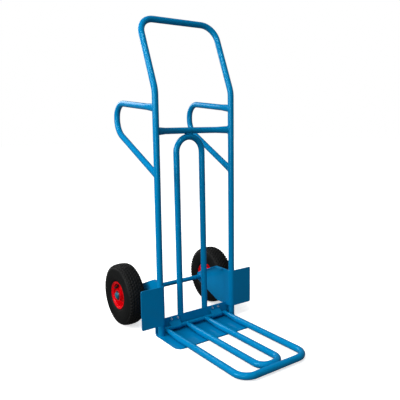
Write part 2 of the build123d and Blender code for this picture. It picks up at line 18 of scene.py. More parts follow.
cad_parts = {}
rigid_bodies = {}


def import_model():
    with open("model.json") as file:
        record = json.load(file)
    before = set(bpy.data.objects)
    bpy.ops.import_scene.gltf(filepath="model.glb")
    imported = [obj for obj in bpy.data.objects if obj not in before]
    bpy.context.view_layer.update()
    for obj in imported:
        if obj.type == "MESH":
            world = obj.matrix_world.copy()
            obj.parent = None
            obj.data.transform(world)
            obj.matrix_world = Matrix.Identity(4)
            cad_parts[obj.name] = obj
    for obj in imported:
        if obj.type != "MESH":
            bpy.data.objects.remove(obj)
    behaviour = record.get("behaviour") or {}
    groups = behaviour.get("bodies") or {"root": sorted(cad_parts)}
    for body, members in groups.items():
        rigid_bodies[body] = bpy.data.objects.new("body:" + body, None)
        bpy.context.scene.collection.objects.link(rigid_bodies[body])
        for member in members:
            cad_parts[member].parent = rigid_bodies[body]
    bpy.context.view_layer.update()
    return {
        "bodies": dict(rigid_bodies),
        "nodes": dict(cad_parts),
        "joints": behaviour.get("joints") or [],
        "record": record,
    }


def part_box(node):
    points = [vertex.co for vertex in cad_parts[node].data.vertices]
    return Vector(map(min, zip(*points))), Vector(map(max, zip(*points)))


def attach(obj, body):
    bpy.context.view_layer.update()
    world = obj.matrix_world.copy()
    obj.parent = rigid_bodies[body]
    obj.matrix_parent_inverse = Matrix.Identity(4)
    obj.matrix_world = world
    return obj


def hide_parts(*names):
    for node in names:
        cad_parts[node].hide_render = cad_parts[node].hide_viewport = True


Array = np.ndarray
Triple = tuple[float, float, float]
Socket = bpy.types.NodeSocket
Thing = bpy.types.Object
Material = bpy.types.Material
LOG = logging.getLogger("hand_truck")
MM = 0.001
WHITE = (1.0, 1.0, 1.0, 1.0)
X_AXIS, Y_AXIS, Z_AXIS = np.eye(3)
NEARLY_ALONG = 0.9
QUARTER = math.pi / 2


class Body(Enum):
    """Moving groups of the frame that a piece can ride on."""

    FRAME = "frame"
    BLADE = "blade"
    LEFT_WHEEL = "left_wheel"
    RIGHT_WHEEL = "right_wheel"


class Slot(Enum):
    """Material slots of the record."""

    BLUE = "blue_paint"
    RED = "red_paint"
    ZINC = "zinc_steel"
    TYRE = "tyre_rubber"
    TUBE = "tube_rubber"
    CAP = "cap_plastic"


class Side(Enum):
    """Left and right half of the truck, with the sign of their X."""

    LEFT = -1
    RIGHT = 1

    @property
    def word(self) -> str:
        """Name of the side as it stands in node names."""
        return self.name.lower()

    @property
    def wheel(self) -> Body:
        """Body of the wheel on this side."""
        return Body.LEFT_WHEEL if self is Side.LEFT else Body.RIGHT_WHEEL


# ---- Surfaces ----


@dataclass
class Surface:
    """Points and quads of one sheet of a piece."""

    points: Array
    faces: Array


def lattice_faces(rows: int, columns: int, wrap_rows: bool) -> Array:
    """Corner indices of the quads between neighbouring points of a lattice of closed rows.

    The point in row i and column j has index i * columns + j, and each row's last point joins
    its first.

    Args:
        rows: Number of rows of points.
        columns: Number of points in a row.
        wrap_rows: Whether the last row joins the first.

    Returns:
        Whole numbers, four to a face.
    """
    i = np.arange(rows if wrap_rows else rows - 1)[:, None]
    j = np.arange(columns)[None, :]
    i_next, j_next = (i + 1) % rows, (j + 1) % columns
    corners = (i * columns + j, i * columns + j_next, i_next * columns + j_next, i_next * columns + j)
    return np.stack(np.broadcast_arrays(*corners), axis=-1).reshape(-1, 4)


def joined(surfaces: list[Surface]) -> Surface:
    """Several sheets as one, their face indices moved past the points before them."""
    starts = np.cumsum([0] + [len(s.points) for s in surfaces[:-1]])
    faces = [s.faces + start for s, start in zip(surfaces, starts)]
    return Surface(np.concatenate([s.points for s in surfaces]), np.concatenate(faces))


def turned(
    origin: Array,
    axis: Array,
    height: Array,
    radius: Array,
    angles: Array,
    wrap_profile: bool = False,
) -> Surface:
    """Surface carried round an axis: point = origin + height * axis + radius * spoke(angle).

    The spoke at an angle is cos(angle) * first + sin(angle) * second, where first and second are
    square to the axis and to each other.

    Args:
        origin: Point on the axis where the height is zero.
        axis: Unit vector along the axis.
        height: Heights, one to a point of the lattice or one to a row.
        radius: Radii, likewise.
        angles: Angle of each column, in radians.
        wrap_profile: Whether the profile's last point joins its first.

    Returns:
        The turned surface.
    """
    helper = Z_AXIS if abs(axis[2]) < NEARLY_ALONG else Y_AXIS
    first = np.cross(helper, axis)
    first /= np.linalg.norm(first)
    second = np.cross(axis, first)
    shape = (len(height), len(angles))
    height, radius = (np.broadcast_to(a.reshape(len(a), -1), shape) for a in (height, radius))
    spoke = np.cos(angles)[:, None] * first + np.sin(angles)[:, None] * second
    points = origin + height[..., None] * axis + radius[..., None] * spoke
    return Surface(points.reshape(-1, 3), lattice_faces(*shape, wrap_profile))


def full_turn(count: int) -> Array:
    """Angles that divide a full turn into equal steps, in radians."""
    return np.arange(count) * (2 * math.pi / count)


def placed(name: str, data: bpy.types.ID) -> Thing:
    """Makes an object of a mesh, lamp or camera and puts it in the scene."""
    holder = bpy.data.objects.new(name, data)
    bpy.context.scene.collection.objects.link(holder)
    return holder


def piece_from(name: str, surface: Surface, merge: float = 2e-6) -> Thing:
    """Makes a mesh object of a surface, closed at its poles and facing outwards.

    Args:
        name: Name of the piece.
        surface: Its points and faces.
        merge: Distance below which two points are one.

    Returns:
        The new object, at the origin.
    """
    mesh = bpy.data.meshes.new(name)
    mesh.vertices.add(len(surface.points))
    mesh.vertices.foreach_set("co", surface.points.astype(np.float32).ravel())
    mesh.loops.add(surface.faces.size)
    mesh.loops.foreach_set("vertex_index", surface.faces.astype(np.int32).ravel())
    mesh.polygons.add(len(surface.faces))
    mesh.polygons.foreach_set("loop_start", np.arange(0, surface.faces.size, 4, dtype=np.int32))
    mesh.update(calc_edges=True)
    work = bmesh.new()
    work.from_mesh(mesh)
    bmesh.ops.remove_doubles(work, verts=work.verts, dist=merge)
    bmesh.ops.dissolve_degenerate(work, edges=work.edges, dist=merge)
    bmesh.ops.recalc_face_normals(work, faces=work.faces)
    work.to_mesh(mesh)
    work.free()
    mesh.polygons.foreach_set("use_smooth", np.ones(len(mesh.polygons), bool))
    return placed(name, mesh)


def creased(piece: Thing, degrees: float) -> None:
    """Marks the edges that bend by more than an angle as creases, so that flats stay flat."""
    work = bmesh.new()
    work.from_mesh(piece.data)
    limit = math.radians(degrees)
    for edge in work.edges:
        edge.smooth = edge.calc_face_angle(0.0) < limit
    work.to_mesh(piece.data)
    work.free()


def fitted(piece: Thing, body: Body, slot: Slot, palette: "Palette") -> None:
    """Dresses a finished piece and lets it ride on a body.

    Args:
        piece: The piece.
        body: Body it moves with.
        slot: Record slot of its finish.
        palette: The truck's finishes.
    """
    piece.data.materials.append(palette.finishes[slot])
    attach(piece, body.value)
    LOG.info("%s: %d faces on %s", piece.name, len(piece.data.polygons), body.value)


# ---- Finishes ----


class ShaderBench:
    """Lays out the nodes of one material around a single shader.

    The mix node keeps its share and its two colours at inputs 0, 6 and 7.
    """

    MIX_INPUTS = (0, 6, 7)
    MIX_OUTPUT = 2

    def __init__(self, name: str) -> None:
        """Starts a material of that name with an empty layout."""
        self.material = bpy.data.materials.new(name)
        self.material.use_nodes = True
        self.tree = self.material.node_tree
        self.tree.nodes.clear()
        self.shader = self.node("BsdfPrincipled")
        self.node("OutputMaterial", Surface=self.shader.outputs[0])
        self.place = self.node("TexCoord").outputs["Object"]

    def feed(self, socket: Socket, value: object) -> None:
        """Links an output to a socket, or sets the socket where the value is plain."""
        if isinstance(value, Socket):
            self.tree.links.new(value, socket)
        else:
            socket.default_value = value

    def wired(self, node: bpy.types.Node, **inputs: object) -> bpy.types.Node:
        """Feeds a node's inputs by name; an underscore in a name stands for a space."""
        for name, value in inputs.items():
            self.feed(node.inputs[name.replace("_", " ")], value)
        return node

    def node(self, kind: str, **inputs: object) -> bpy.types.Node:
        """Adds a node and feeds its inputs."""
        return self.wired(self.tree.nodes.new("ShaderNode" + kind), **inputs)

    def coat(self, **inputs: object) -> None:
        """Feeds the shader's own inputs."""
        self.wired(self.shader, **inputs)

    def stretched(self, scale: Triple) -> Socket:
        """Object coordinates multiplied by a scale along each axis."""
        return self.node("Mapping", Scale=scale, Vector=self.place).outputs["Vector"]

    def noise(self, scale: float, detail: float, place: object = None) -> Socket:
        """Soft random pattern between 0 and 1.

        Args:
            scale: Cells to a metre.
            detail: Number of finer layers.
            place: Coordinates to read, the object's own unless given.

        Returns:
            The pattern's value.
        """
        where = place or self.place
        return self.node("TexNoise", Scale=scale, Detail=detail, Vector=where).outputs["Fac"]

    def spread(self, value: object, low: float, high: float, to: tuple[float, float]) -> Socket:
        """Carries the range from low to high onto another range, smoothly and clamped.

        Args:
            value: What is carried.
            low: Start of its range.
            high: End of its range.
            to: Start and end of the new range.

        Returns:
            The carried value.
        """
        node = self.node(
            "MapRange", Value=value, From_Min=low, From_Max=high, To_Min=to[0], To_Max=to[1]
        )
        node.interpolation_type = "SMOOTHSTEP"
        return node.outputs["Result"]

    def maths(self, operation: str, first: object, second: object) -> Socket:
        """Joins two values by a named sum, clamped between 0 and 1."""
        node = self.node("Math")
        node.operation = operation
        node.use_clamp = True
        for socket, value in zip(node.inputs, (first, second)):
            self.feed(socket, value)
        return node.outputs["Value"]

    def blend(self, share: object, first: object, second: object) -> Socket:
        """Mixes two colours by a share between 0 and 1."""
        node = self.node("Mix")
        node.data_type = "RGBA"
        for index, value in zip(self.MIX_INPUTS, (share, first, second)):
            self.feed(node.inputs[index], value)
        return node.outputs[self.MIX_OUTPUT]

    def attribute(self, name: str) -> Socket:
        """Value of one of the mesh's own attributes."""
        node = self.node("Attribute")
        node.attribute_name = name
        return node.outputs["Fac"]

    def relief(self, height: object, depth: float, below: object = None) -> Socket:
        """Bumps the surface by a height pattern.

        Args:
            height: Pattern between 0 and 1.
            depth: Height in metres of a full step.
            below: Normal of a coarser relief underneath.

        Returns:
            The bumped normal.
        """
        node = self.node("Bump", Strength=1.0, Distance=depth, Height=height)
        if below is not None:
            self.feed(node.inputs["Normal"], below)
        return node.outputs["Normal"]


def rgba(colour: Triple) -> tuple[float, float, float, float]:
    """An opaque colour of three linear parts."""
    return (*colour, 1.0)


@dataclass(frozen=True)
class PowderCoat:
    """Baked-on paint: faint clouding, orange peel, fine dust and rubbed patches."""

    name: str
    colour: Triple
    clouded: Triple
    rubbed: Triple
    sheen: Triple
    gloss: float
    rubbing: float
    peel_depth: float = 0.00003
    skin_depth: float = 0.000004
    reflection: float = 0.35

    def material(self) -> Material:
        """The paint's material."""
        bench = ShaderBench(self.name)
        cloud = bench.spread(bench.noise(scale=9.0, detail=3.0), low=0.35, high=0.65, to=(0.0, 1.0))
        grain = bench.spread(bench.noise(scale=1400.0, detail=1.0), low=0.3, high=0.7, to=(0.0, 0.05))
        streaks = bench.noise(scale=30.0, detail=5.0, place=bench.stretched((1.0, 3.0, 0.35)))
        first_worn = 0.66 - 0.06 * self.rubbing
        worn = bench.spread(streaks, low=first_worn, high=0.78, to=(0.0, 0.3 * self.rubbing))
        paint = bench.blend(cloud, rgba(self.colour), rgba(self.clouded))
        paint = bench.blend(grain, paint, rgba(self.rubbed))
        paint = bench.blend(worn, paint, rgba(self.rubbed))
        bench.coat(Base_Color=paint)
        smears = bench.noise(scale=60.0, detail=4.0)
        rough = bench.spread(smears, low=0.3, high=0.7, to=(self.gloss, self.gloss + 0.08))
        bench.coat(Roughness=bench.maths("ADD", rough, worn))
        peel = bench.relief(bench.noise(scale=330.0, detail=2.0), self.peel_depth)
        skin = bench.relief(bench.noise(scale=2600.0, detail=1.0), self.skin_depth, below=peel)
        bench.coat(Normal=skin)
        bench.coat(Specular_IOR_Level=self.reflection)
        bench.coat(Specular_Tint=rgba(self.sheen))
        return bench.material


@dataclass(frozen=True)
class ZincPlate:
    """Bright zinc plating with a cloudy tint, turning marks and painted shade that darkens the bearing
    faces.

    The painted shade stands in for the shade inside the wheel hubs. It lies where the distance from
    the middle plane is between the two shade limits; each limit is tested on the squares, so that both
    sides of the truck take part.
    """

    name: str
    colour: Triple
    tint: Triple
    # Painted shade: the near-black colour laid on the wheel bearings and its share, standing in for
    # the shade inside the hubs.
    grease: Triple = (0.03, 0.028, 0.025)
    grease_share: float = 0.92
    shade_from: float = 0.19
    shade_to: float = 0.26155
    start_width: float = 0.01
    end_width: float = 0.0001
    mark_depth: float = 0.00002

    def material(self) -> Material:
        """The plating's material."""
        bench = ShaderBench(self.name)
        cloud = bench.spread(bench.noise(scale=160.0, detail=3.0), low=0.35, high=0.7, to=(0.0, 0.8))
        plating = bench.blend(cloud, rgba(self.colour), rgba(self.tint))
        across = bench.node("SeparateXYZ", Vector=bench.place).outputs["X"]
        square = bench.maths("MULTIPLY", across, across)
        # Painted shade: the bearings between these two limits are darkened towards near black, as the
        # hubs' shade would darken them.
        start, end = self.shade_from, self.shade_to
        beyond = bench.spread(square, start**2, (start + self.start_width) ** 2, to=(0.0, 1.0))
        within = bench.spread(square, end**2, (end + self.end_width) ** 2, to=(self.grease_share, 0.0))
        hub_shaded = bench.maths("MULTIPLY", beyond, within)
        bench.coat(Base_Color=bench.blend(hub_shaded, plating, rgba(self.grease)))
        rough = bench.spread(bench.noise(scale=420.0, detail=3.0), low=0.3, high=0.7, to=(0.24, 0.42))
        bench.coat(Roughness=rough)
        marks = bench.noise(scale=1500.0, detail=1.0, place=bench.stretched((4.0, 0.4, 0.4)))
        bench.coat(Normal=bench.relief(marks, self.mark_depth))
        bench.coat(Metallic=1.0)
        return bench.material


@dataclass(frozen=True)
class TreadRubber:
    """Matt tyre rubber, dusty where the tread is cut away and polished on its crowns."""

    name: str
    colour: Triple
    dust: Triple
    cut_dust: float = 0.45
    crown_roughness: float = 0.5
    dust_roughness: float = 0.3
    pore_depth: float = 0.00008
    reflection: float = 0.13

    def material(self) -> Material:
        """The rubber's material."""
        bench = ShaderBench(self.name)
        cut = bench.attribute(TreadTyre.CUT)
        film = bench.spread(bench.noise(scale=22.0, detail=5.0), low=0.45, high=0.8, to=(0.0, 0.35))
        dusty = bench.maths("ADD", bench.maths("MULTIPLY", cut, self.cut_dust), film)
        bench.coat(Base_Color=bench.blend(dusty, rgba(self.colour), rgba(self.dust)))
        dulled = bench.maths("MULTIPLY", dusty, self.dust_roughness)
        bench.coat(Roughness=bench.maths("ADD", dulled, self.crown_roughness))
        pores = bench.noise(scale=900.0, detail=3.0)
        bench.coat(Normal=bench.relief(pores, self.pore_depth))
        bench.coat(Specular_IOR_Level=self.reflection)
        return bench.material


@dataclass(frozen=True)
class Moulded:
    """Moulded plastic or smooth rubber with a faint skin and small scuffs."""

    name: str
    colour: Triple
    scuffed: Triple
    gloss: float
    scuff_roughness: float = 0.25
    skin_depth: float = 0.000015
    reflection: float = 0.45

    def material(self) -> Material:
        """The moulding's material."""
        bench = ShaderBench(self.name)
        scuff = bench.spread(bench.noise(scale=240.0, detail=4.0), low=0.55, high=0.75, to=(0.0, 0.5))
        bench.coat(Base_Color=bench.blend(scuff, rgba(self.colour), rgba(self.scuffed)))
        dulled = bench.maths("MULTIPLY", scuff, self.scuff_roughness)
        bench.coat(Roughness=bench.maths("ADD", dulled, self.gloss))
        skin = bench.noise(scale=1800.0, detail=2.0)
        bench.coat(Normal=bench.relief(skin, self.skin_depth))
        bench.coat(Specular_IOR_Level=self.reflection)
        return bench.material


class Palette:
    """Every finish of the truck, made once."""

    def __init__(self) -> None:
        """Makes the materials of all the slots."""
        makers = {
            Slot.BLUE: PowderCoat(
                "blue_powder_coat",
                colour=(0.0, 0.20, 0.45),
                clouded=(0.0, 0.192, 0.436),
                rubbed=(0.006, 0.22, 0.48),
                sheen=(0.22, 0.8, 1.0),
                gloss=0.13,
                rubbing=0.3,
            ),
            Slot.RED: PowderCoat(
                "red_rim_paint",
                colour=(0.68, 0.0, 0.005),
                clouded=(0.64, 0.0, 0.005),
                rubbed=(0.68, 0.02, 0.02),
                sheen=(1.0, 0.45, 0.5),
                gloss=0.2,
                rubbing=0.3,
            ),
            Slot.ZINC: ZincPlate("bright_zinc", (0.74, 0.75, 0.78), (0.55, 0.57, 0.58)),
            Slot.TYRE: TreadRubber("tread_rubber", (0.0045, 0.005, 0.005), (0.014, 0.014, 0.0135)),
            Slot.TUBE: Moulded("valve_rubber", (0.012, 0.012, 0.012), (0.03, 0.03, 0.03), 0.45),
            Slot.CAP: Moulded("blue_green_cap", (0.006, 0.12, 0.18), (0.02, 0.15, 0.21), 0.28),
        }
        self.finishes = {slot: maker.material() for slot, maker in makers.items()}

    def dress_frame(self, frame: dict) -> None:
        """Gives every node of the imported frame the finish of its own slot.
        """
        for row in frame["record"]["subparts"]:
            node = frame["nodes"][row["node"]]
            material = self.finishes[Slot(row["material_slot"])]
            for place in node.material_slots:
                place.material = material
            LOG.info("%s: %s", node.name, material.name)


# ---- Sizes ----


class TruckSizes:
    """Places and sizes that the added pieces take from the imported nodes."""

    def __init__(self, tube: float = 0.0125) -> None:
        """Works the sizes out of the nodes' boxes: a tube's middle is a radius in from its edge.

        Args:
            tube: Radius of the frame's and the blade's tubes.
        """
        self.tube = tube
        loop_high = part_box("centre_loop")[1]
        self.loop_x, self.loop_top_y, self.loop_top = (edge - tube for edge in loop_high)
        self.rail_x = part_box("main_frame_tube")[1].x - tube
        self.crossbar_z = sum(corner.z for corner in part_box("crossbar")) / 2
        blade_low, blade_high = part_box("blade_outer_loop")
        self.outer_leg_x = blade_high.x - tube
        self.inner_leg_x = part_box("blade_inner_loop")[1].x - tube
        self.blade_front, self.blade_z = blade_low.y + tube, blade_low.z + tube
        self.rod_centre, self.rod_radius = self.bar("blade_rod")
        self.axle_centre, self.axle_radius = self.bar("axle")
        self.bracket_low, self.bracket_high = (c.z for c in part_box("right_axle_bracket"))

    @staticmethod
    def bar(node: str) -> tuple[Array, float]:
        """Middle and radius of a round bar that lies across the truck."""
        low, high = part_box(node)
        return np.array([0.0, *((low + high) / 2)[1:]]), (high.y - low.y) / 2


# ---- Tyres ----


def smooth_through(knots: Array, steps: int) -> Array:
    """Curve through knots: each span is the cubic that leaves its ends along the neighbours' chord.

    On a span from b to c with neighbours a and d, the point at t is
    b + t(c-a)/2 + t^2(2a-5b+4c-d)/2 + t^3(3b-a-3c+d)/2.

    Args:
        knots: Points that the curve goes through, one to a row.
        steps: Samples to a span.

    Returns:
        Points along the curve.
    """
    ends = np.concatenate([2 * knots[:1] - knots[1:2], knots, 2 * knots[-1:] - knots[-2:-1]])
    a, b, c, d = (ends[k : len(ends) - 3 + k, None, :] for k in range(4))
    t = (np.arange(steps) / steps)[None, :, None]
    bend = t**2 * (2 * a - 5 * b + 4 * c - d) / 2
    span = b + t * (c - a) / 2 + bend + t**3 * (3 * b - a - 3 * c + d) / 2
    return np.concatenate([span.reshape(-1, knots.shape[1]), knots[-1:]])


@dataclass
class TreadTyre:
    """Pneumatic tyre with rows of slanted tread blocks and moulded rings on its walls.

    Its own lengths are in millimetres. A way is the length along the section from the crown.
    """

    side: Side
    centre: Array
    outer_radius: float = 130.0
    pitches: int = 54
    columns_per_pitch: int = 12
    rows: tuple[float, ...] = (-34.0, -22.5, -11.2, 0.0, 11.2, 22.5, 34.0)
    block_half_length: float = 5.3
    block_half_width: float = 4.3
    chamfer: float = 0.9
    slant: float = 0.35
    depth: float = 3.2
    tread_edge: float = 45.0
    fade_width: float = 9.0
    fine_edge: float = 46.0
    fine_samples: int = 41
    wall_samples: int = 16
    knot_steps: int = 60
    wall_rings: tuple[float, ...] = (57.0, 88.0)
    ring_height: float = 0.45
    ring_width: float = 0.9
    ring_samples: tuple[float, ...] = (-1.6, -0.8, 0.0, 0.8, 1.6)
    bead_half_width: float = 27.4
    bead_radius: float = 50.8

    CUT = "tread_cut"
    HALF_OUTLINE = (
        (0.0, 130.0), (12.0, 129.4), (24.0, 127.4), (31.0, 124.0), (35.2, 118.0),
        (38.9, 106.0), (40.1, 88.0), (37.2, 70.0), (32.5, 61.6), (27.6, 58.9),
    )

    def section(self) -> tuple[Array, Array]:
        """Samples of the outer section, close together on the tread and at the wall's rings.

        Half of it, from the crown's middle down to the bead, is mirrored to the other side.

        Returns:
            Points as distance across and radius, and the signed way along the section of each.
        """
        half = MM * np.array(self.HALF_OUTLINE)
        mirrored = half[:0:-1] * (-1.0, 1.0)
        fine = smooth_through(np.concatenate([mirrored, half]), self.knot_steps)
        way = np.concatenate([[0.0], np.cumsum(np.linalg.norm(np.diff(fine, axis=0), axis=1))])
        way -= way[-1] / 2
        tread = np.linspace(0.0, self.fine_edge, self.fine_samples) * MM
        wall = np.linspace(self.fine_edge * MM, way[-1], self.wall_samples)
        rings = MM * np.add.outer(self.wall_rings, self.ring_samples).ravel()
        right = np.unique(np.concatenate([tread, wall, rings]))
        chosen = np.concatenate([-right[:0:-1], right])
        points = np.stack([np.interp(chosen, way, fine[:, k]) for k in range(2)], axis=1)
        return points, chosen

    def blocks(self, along: Array, across: Array) -> Array:
        """How much of the highest tread block stands at each point, from 0 to 1.

        A block is the product of two ramps, one in from its ends and one in from its sides, on a
        lattice that shifts by half a pitch from row to row and slants the other way in each.

        Args:
            along: Way round the tyre, in millimetres.
            across: Way along the section, in millimetres.

        Returns:
            The highest block at each point.
        """
        pitch = 2 * math.pi * self.outer_radius / self.pitches
        standing = np.zeros(np.broadcast(along, across).shape)
        for count, middle in enumerate(self.rows):
            offset = across - middle
            phase = along / pitch + 0.5 * (count % 2) + self.slant * (-1) ** count * offset / pitch
            from_middle = np.abs(phase - np.round(phase)) * pitch
            ends = np.clip((self.block_half_length - from_middle) / self.chamfer, 0.0, 1.0)
            sides = np.clip((self.block_half_width - np.abs(offset)) / self.chamfer, 0.0, 1.0)
            standing = np.maximum(standing, ends * sides)
        return standing

    def build(self, palette: Palette) -> None:
        """Turns the section round the axle and cuts the tread inwards along its normal.

        The cut is 1 less the block's height, fading out over fade_width towards the tread's edge.
        A wall ring lifts by ring_height * exp(-(way from its middle / ring_width)^2).

        Args:
            palette: The truck's finishes.
        """
        outline, way = self.section()
        columns = self.pitches * self.columns_per_pitch
        angles = full_turn(columns)
        slope = np.gradient(outline, axis=0)
        normal = np.stack([-slope[:, 1], slope[:, 0]], axis=1)
        normal /= np.linalg.norm(normal, axis=1)[:, None]
        across = (way / MM)[:, None]
        standing = self.blocks((angles * self.outer_radius)[None, :], across)
        fade = np.clip((self.tread_edge - np.abs(across)) / self.fade_width, 0.0, 1.0)
        cut = (1.0 - standing) * fade
        offsets = [(np.abs(across) - middle) / self.ring_width for middle in self.wall_rings]
        rings = sum(np.exp(-(offset**2)) for offset in offsets)
        lift = self.ring_height * MM * rings - self.depth * MM * cut
        bead = MM * np.array([(self.bead_half_width * k, self.bead_radius) for k in (1, 0, -1)])
        inner = (len(bead), columns)
        rows = [
            np.concatenate([line[:, None] + out[:, None] * lift, np.broadcast_to(end[:, None], inner)])
            for line, out, end in zip(outline.T, normal.T, bead.T)
        ]
        surface = turned(self.centre, X_AXIS, *rows, angles, wrap_profile=True)
        tyre = piece_from(f"{self.side.word}_tread_tyre", surface, merge=1e-7)
        cuts = np.concatenate([np.broadcast_to(cut, (len(outline), columns)), np.zeros(inner)])
        layer = tyre.data.attributes.new(self.CUT, "FLOAT", "POINT")
        layer.data.foreach_set("value", cuts.astype(np.float32).ravel())
        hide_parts(f"{self.side.word}_tyre")
        fitted(tyre, self.side.wheel, Slot.TYRE, palette)


# ---- Welds ----

WELD_STEP = 0.0005
FEWEST_STEPS = 8
COPE_POINTS = 160


@dataclass
class WeldBead:
    """A rippled bead of weld metal along a path; its shares are of its radius."""

    path: Array
    radius: float
    closed: bool = False
    seed: int = 1
    ripple: float = 0.0024
    ripple_share: float = 0.09
    wave_share: float = 0.05
    waves: int = 3
    sides: int = 10

    def surface(self) -> Surface:
        """Carries a circle along the path, its radius rippled and its open ends domed.

        The radius is the nominal one times 1 + ripple_share * cos(turns * share of the way) plus
        slow waves of random phase, and near an open end it follows a quarter circle.

        Returns:
            The bead's surface.
        """
        ahead = np.roll(self.path, -1, axis=0)
        step = ahead - self.path if self.closed else np.diff(self.path, axis=0)
        way = np.concatenate([[0.0], np.cumsum(np.linalg.norm(step, axis=1))])[: len(self.path)]
        length = np.linalg.norm(step, axis=1).sum()
        behind = np.roll(self.path, 1, axis=0)
        tangent = ahead - behind if self.closed else np.gradient(self.path, axis=0)
        tangent /= np.linalg.norm(tangent, axis=1)[:, None]
        reference = np.linalg.svd(tangent)[2][-1]
        first = np.cross(tangent, reference)
        first /= np.linalg.norm(first, axis=1)[:, None]
        second = np.cross(tangent, first)
        turns = max(3, round(length / self.ripple))
        phases = np.random.default_rng(self.seed).uniform(0.0, 2 * math.pi, self.waves)
        around = 2 * math.pi * way / length
        slow = sum(np.sin((k + 2) * around + phase) for k, phase in enumerate(phases))
        fine = np.cos(turns * around)
        radius = self.radius * (1.0 + self.ripple_share * fine + self.wave_share * slow)
        if not self.closed:
            inset = np.clip(np.minimum(way, length - way) / self.radius, 0.0, 1.0)
            radius = radius * np.sqrt(1.0 - (1.0 - inset) ** 2)
        angles = full_turn(self.sides)[:, None]
        spoke = np.cos(angles) * first[:, None, :] + np.sin(angles) * second[:, None, :]
        points = self.path[:, None, :] + radius[:, None, None] * spoke
        faces = lattice_faces(len(self.path), self.sides, self.closed)
        return Surface(points.reshape(-1, 3), faces)


def straight(start: Triple, end: Triple) -> Array:
    """Points on the line from start to end, about one weld step apart."""
    a, b = np.array(start, float), np.array(end, float)
    count = max(FEWEST_STEPS, int(np.linalg.norm(b - a) / WELD_STEP))
    return a + np.linspace(0.0, 1.0, count)[:, None] * (b - a)


def round_about(
    centre: Array, axis: Array, radius: float, start: float = 0.0, sweep: float = 360.0
) -> Array:
    """Points on a circle or an arc about an axis, from a start angle in degrees."""
    full = sweep >= 360.0
    count = max(FEWEST_STEPS, int(radius * math.radians(sweep) / WELD_STEP))
    angles = np.radians(start + sweep * np.linspace(0.0, 1.0, count, endpoint=not full))
    helper = X_AXIS if abs(axis[0]) < NEARLY_ALONG else Y_AXIS
    second = np.cross(axis, helper)
    second /= np.linalg.norm(second)
    first = np.cross(second, axis)
    return centre + radius * (np.cos(angles)[:, None] * first + np.sin(angles)[:, None] * second)


def coped(
    start: Array,
    along: Array,
    thin: Array,
    half_sizes: tuple[float, float],
    post: Array,
    post_radius: float,
) -> Array:
    """Line where an oval tube runs into a round post.

    Each point of the oval, start + a cos(t) thin + b sin(t) wide, moves along the tube until its
    distance from the post's axis is the post's radius, which is the far root of a quadratic.

    Args:
        start: Where the tube's middle line crosses the post's axis.
        along: Unit vector along the tube, away from the post.
        thin: Unit vector across the tube's thin way.
        half_sizes: Half thickness and half width of the tube.
        post: Unit vector along the post's axis.
        post_radius: Radius of the post.

    Returns:
        Points of the closed line.
    """
    t = full_turn(COPE_POINTS)[:, None]
    offset = half_sizes[0] * np.cos(t) * thin + half_sizes[1] * np.sin(t) * np.cross(along, thin)
    oval = start + offset
    offset = offset - (offset @ post)[:, None] * post
    run = along - (along @ post) * post
    a = run @ run
    b = offset @ run
    c = (offset * offset).sum(axis=1) - post_radius**2
    travel = (-b + np.sqrt(np.maximum(b * b - a * c, 0.0))) / a
    return oval + travel[:, None] * along


@dataclass
class WeldGroup:
    """Weld beads that ride on one body."""

    sizes: TruckSizes

    NAME = ""
    BODY = Body.FRAME

    def beads(self) -> list[WeldBead]:
        """The group's beads."""
        raise NotImplementedError

    def build(self, palette: Palette) -> None:
        """Makes the beads as one piece, dressed from the palette."""
        piece = piece_from(self.NAME, joined([bead.surface() for bead in self.beads()]))
        fitted(piece, self.BODY, Slot.BLUE, palette)


